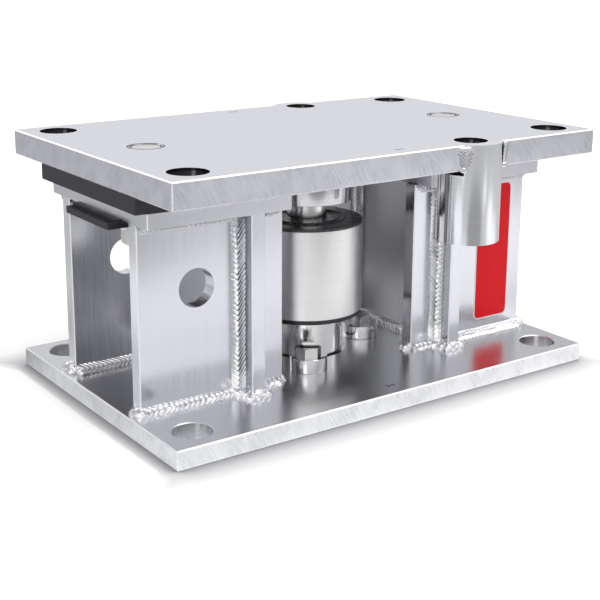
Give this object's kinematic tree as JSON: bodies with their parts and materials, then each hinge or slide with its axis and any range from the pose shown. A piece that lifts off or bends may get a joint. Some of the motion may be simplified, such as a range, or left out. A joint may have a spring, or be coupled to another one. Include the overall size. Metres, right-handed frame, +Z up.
{
  "type": "load cell weighing module",
  "caption": "Weigh module: a canister load cell between a base plate and a floating top plate, held by welded towers with hold-down bolts, shims and jacking bosses.",
  "frame": {"origin": "middle of the base plate's underside", "axes": "+X along the module from the left tower to the right one, +Y from the front to the back, +Z up"},
  "size_m": [0.4, 0.28, 0.202],
  "materials": {
    "plate_steel": "brushed and milled stainless plate",
    "weld_metal": "bright rippled weld bead",
    "turned_steel": "fine turned stainless",
    "canister_steel": "satin stainless",
    "bolt_steel": "plain stainless fastener",
    "black_coat": "satin black coating",
    "black_plastic": "matt black plastic",
    "gauge_foil": "amber film",
    "circuit_board": "green board",
    "gland_metal": "nickel-plated brass"
  },
  "bodies": {
    "root": {"base_plate": "plate_steel", "left_front_side_plate": "plate_steel", "left_back_side_plate": "plate_steel", "left_front_rib": "plate_steel", "left_back_rib": "plate_steel", "left_web_plate": "plate_steel", "left_cap_plate": "plate_steel", "left_tower_welds": "weld_metal", "right_front_side_plate": "plate_steel", "right_back_side_plate": "plate_steel", "right_front_rib": "plate_steel", "right_back_rib": "plate_steel", "right_web_plate": "plate_steel", "right_cap_plate": "plate_steel", "right_tower_welds": "weld_metal", "keeper_washers": "turned_steel", "keeper_bolts": "bolt_steel"},
    "top_carriage": {"top_plate": "plate_steel", "jacking_bosses": "turned_steel", "boss_welds": "weld_metal", "upper_pressure_cup": "turned_steel", "hold_down_bolts": "bolt_steel", "hold_down_washers": "turned_steel"},
    "load_cell": {"cell_spring_element": "turned_steel", "cell_strain_gauges": "gauge_foil", "cell_base_ring": "black_coat", "cell_housing": "canister_steel", "cell_lid": "black_coat", "cell_terminal_board": "circuit_board", "cell_cable_gland": "gland_metal", "cell_gland_nut": "gland_metal"},
    "left_upper_shim": {"left_upper_shim": "black_plastic"},
    "left_lower_shim": {"left_lower_shim": "black_plastic"},
    "right_upper_shim": {"right_upper_shim": "black_plastic"},
    "right_lower_shim": {"right_lower_shim": "black_plastic"}
  },
  "joints": [
    {"name": "top_float", "type": "slide", "parent": "root", "child": "top_carriage", "axis": [1, 0, 0], "range_m": [-0.003, 0.003], "stiffness_N_per_m": 2000},
    {"name": "cell_rock", "type": "hinge", "parent": "root", "child": "load_cell", "pos_m": [0, 0, 0.0131], "axis": [0, 1, 0], "range_deg": [-1.2, 1.2]},
    {"name": "left_upper_shim_pull", "type": "slide", "parent": "root", "child": "left_upper_shim", "axis": [-1, 0, 0], "range_m": [0, 0.085]},
    {"name": "left_lower_shim_pull", "type": "slide", "parent": "root", "child": "left_lower_shim", "axis": [-1, 0, 0], "range_m": [0, 0.08]},
    {"name": "right_upper_shim_pull", "type": "slide", "parent": "root", "child": "right_upper_shim", "axis": [1, 0, 0], "range_m": [0, 0.085]},
    {"name": "right_lower_shim_pull", "type": "slide", "parent": "root", "child": "right_lower_shim", "axis": [1, 0, 0], "range_m": [0, 0.08]}
  ],
  "couplings": [
    {"joint": "cell_rock", "follows": "top_float", "rad_per_m": 6.5876}
  ]
}
